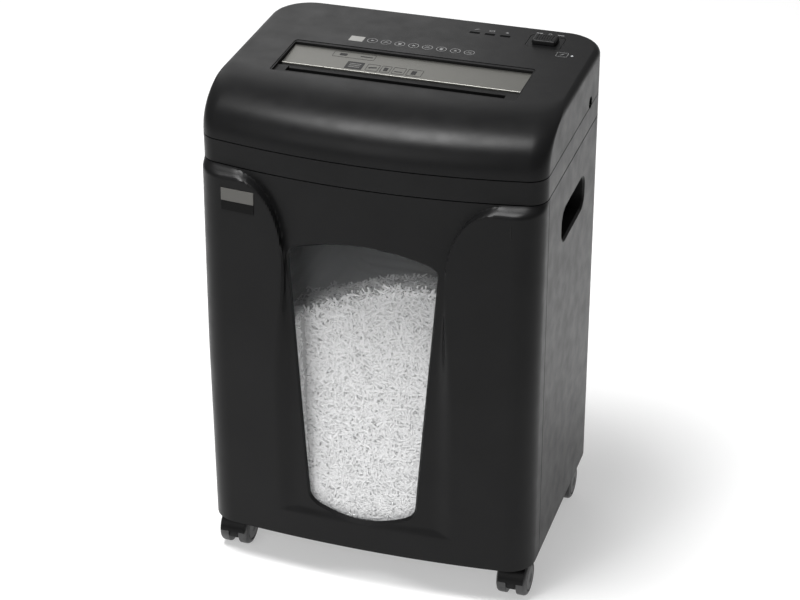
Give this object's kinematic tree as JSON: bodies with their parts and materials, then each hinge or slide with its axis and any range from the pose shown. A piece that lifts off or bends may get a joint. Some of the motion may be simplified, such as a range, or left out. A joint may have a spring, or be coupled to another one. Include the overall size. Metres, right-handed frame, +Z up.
{
  "type": "paper shredder",
  "caption": "Free-standing black micro-cut paper shredder with a pull-out windowed bin, top feed slot, slide switch, side hand holes and swivel castors.",
  "frame": {"origin": "on the floor, under the middle of the object's box", "axes": "+Z up; the bin front and feed side face -Y; +X is to the right when seen from the front"},
  "size_m": [0.36, 0.289, 0.55],
  "materials": {
    "black_shell": "fine-textured black moulding",
    "black_inner": "plain black moulding",
    "guide_metal": "warm grey metallic paint",
    "clear_window": "clear polycarbonate, slightly scuffed",
    "cut_paper": "loose micro-cut white paper",
    "grey_label": "blank printed film label",
    "plain_steel": "zinc-plated steel",
    "cutter_steel": "hardened and ground steel",
    "sintered_bronze": "oil-filled sintered bronze",
    "nylon_gear": "natural nylon",
    "motor_steel": "rolled steel can",
    "green_board": "solder-masked board",
    "smoked_lens": "smoked acrylic",
    "white_plastic": "white translucent plastic",
    "grey_plastic": "grey engineering plastic",
    "wheel_nylon": "black nylon"
  },
  "bodies": {
    "root": {"cabinet_shell": "black_shell", "cabinet_base": "black_shell", "head_lower_shell": "black_shell", "head_top_cover": "black_shell", "feed_throat": "black_inner", "switch_bezel": "black_inner", "stripper_comb_front": "black_inner", "stripper_comb_rear": "black_inner", "motor_saddle": "black_inner", "gearbox_cover": "black_inner", "mains_gland": "black_inner", "feed_guide_plate": "guide_metal", "cutter_side_plate_left": "plain_steel", "cutter_side_plate_right": "plain_steel", "tie_rod_front": "plain_steel", "tie_rod_rear": "plain_steel", "idler_pin": "plain_steel", "shaft_bush_front_left": "sintered_bronze", "shaft_bush_front_right": "sintered_bronze", "shaft_bush_rear_left": "sintered_bronze", "shaft_bush_rear_right": "sintered_bronze", "motor_housing": "motor_steel", "control_board": "green_board", "indicator_lens_left": "smoked_lens", "indicator_lens_middle": "smoked_lens", "indicator_lens_right": "smoked_lens", "power_led": "white_plastic", "mode_switch_body": "grey_plastic", "door_switch": "grey_plastic", "paper_sensor": "grey_plastic", "run_capacitor": "grey_plastic", "side_screw_left": "grey_plastic", "side_screw_right": "grey_plastic"},
    "bin": {"bin_front_panel": "black_shell", "bin_tub": "black_inner", "bin_window": "clear_window", "shredded_paper": "cut_paper", "blank_label": "grey_label"},
    "mode_knob": {"mode_switch_knob": "black_shell"},
    "door_plunger": {"door_switch_plunger": "white_plastic"},
    "front_cutter": {"cutter_shaft_front": "cutter_steel", "sync_gear_front": "plain_steel"},
    "rear_cutter": {"cutter_shaft_rear": "cutter_steel", "sync_gear_rear": "plain_steel", "drive_gear": "nylon_gear"},
    "idler": {"idler_gear": "nylon_gear"},
    "rotor": {"motor_rotor": "plain_steel", "cooling_fan": "nylon_gear"},
    "castor_front_left": {"castor_hood_front_left": "black_shell"},
    "wheels_front_left": {"castor_wheels_front_left": "wheel_nylon"},
    "castor_front_right": {"castor_hood_front_right": "black_shell"},
    "wheels_front_right": {"castor_wheels_front_right": "wheel_nylon"},
    "castor_rear_left": {"castor_hood_rear_left": "black_shell"},
    "wheels_rear_left": {"castor_wheels_rear_left": "wheel_nylon"},
    "castor_rear_right": {"castor_hood_rear_right": "black_shell"},
    "wheels_rear_right": {"castor_wheels_rear_right": "wheel_nylon"}
  },
  "joints": [
    {"name": "bin_slide", "type": "slide", "parent": "root", "child": "bin", "axis": [0, -1, 0], "range_m": [0, 0.26]},
    {"name": "mode_switch_slide", "type": "slide", "parent": "root", "child": "mode_knob", "axis": [1, 0, 0], "range_m": [-0.0075, 0.0075]},
    {"name": "door_switch_press", "type": "slide", "parent": "root", "child": "door_plunger", "axis": [0, 0, 1], "range_m": [0, 0.002], "stiffness_N_per_m": 200, "springref_m": -0.003},
    {"name": "rear_cutter_spin", "type": "hinge", "parent": "root", "child": "rear_cutter", "pos_m": [0, -0.0085, 0.505], "axis": [1, 0, 0], "continuous": true},
    {"name": "front_cutter_spin", "type": "hinge", "parent": "root", "child": "front_cutter", "pos_m": [0, -0.0415, 0.505], "axis": [1, 0, 0], "continuous": true},
    {"name": "idler_spin", "type": "hinge", "parent": "root", "child": "idler", "pos_m": [0, 0.0245, 0.505], "axis": [1, 0, 0], "continuous": true},
    {"name": "rotor_spin", "type": "hinge", "parent": "root", "child": "rotor", "pos_m": [0, 0.05825, 0.505], "axis": [1, 0, 0], "continuous": true},
    {"name": "castor_front_left_swivel", "type": "hinge", "parent": "root", "child": "castor_front_left", "pos_m": [-0.158, -0.0935, 0.045], "axis": [0, 0, 1], "continuous": true},
    {"name": "wheels_front_left_roll", "type": "hinge", "parent": "castor_front_left", "child": "wheels_front_left", "pos_m": [-0.158, -0.1055, 0.02], "axis": [1, 0, 0], "continuous": true},
    {"name": "castor_front_right_swivel", "type": "hinge", "parent": "root", "child": "castor_front_right", "pos_m": [0.158, -0.0935, 0.045], "axis": [0, 0, 1], "continuous": true},
    {"name": "wheels_front_right_roll", "type": "hinge", "parent": "castor_front_right", "child": "wheels_front_right", "pos_m": [0.158, -0.1055, 0.02], "axis": [1, 0, 0], "continuous": true},
    {"name": "castor_rear_left_swivel", "type": "hinge", "parent": "root", "child": "castor_rear_left", "pos_m": [-0.158, 0.097, 0.045], "axis": [0, 0, 1], "continuous": true},
    {"name": "wheels_rear_left_roll", "type": "hinge", "parent": "castor_rear_left", "child": "wheels_rear_left", "pos_m": [-0.158, 0.085, 0.02], "axis": [1, 0, 0], "continuous": true},
    {"name": "castor_rear_right_swivel", "type": "hinge", "parent": "root", "child": "castor_rear_right", "pos_m": [0.158, 0.097, 0.045], "axis": [0, 0, 1], "continuous": true},
    {"name": "wheels_rear_right_roll", "type": "hinge", "parent": "castor_rear_right", "child": "wheels_rear_right", "pos_m": [0.158, 0.085, 0.02], "axis": [1, 0, 0], "continuous": true}
  ],
  "couplings": [
    {"joint": "front_cutter_spin", "follows": "rear_cutter_spin", "ratio": -1},
    {"joint": "idler_spin", "follows": "rear_cutter_spin", "ratio": -3.4},
    {"joint": "rotor_spin", "follows": "rear_cutter_spin", "ratio": 13.6}
  ]
}
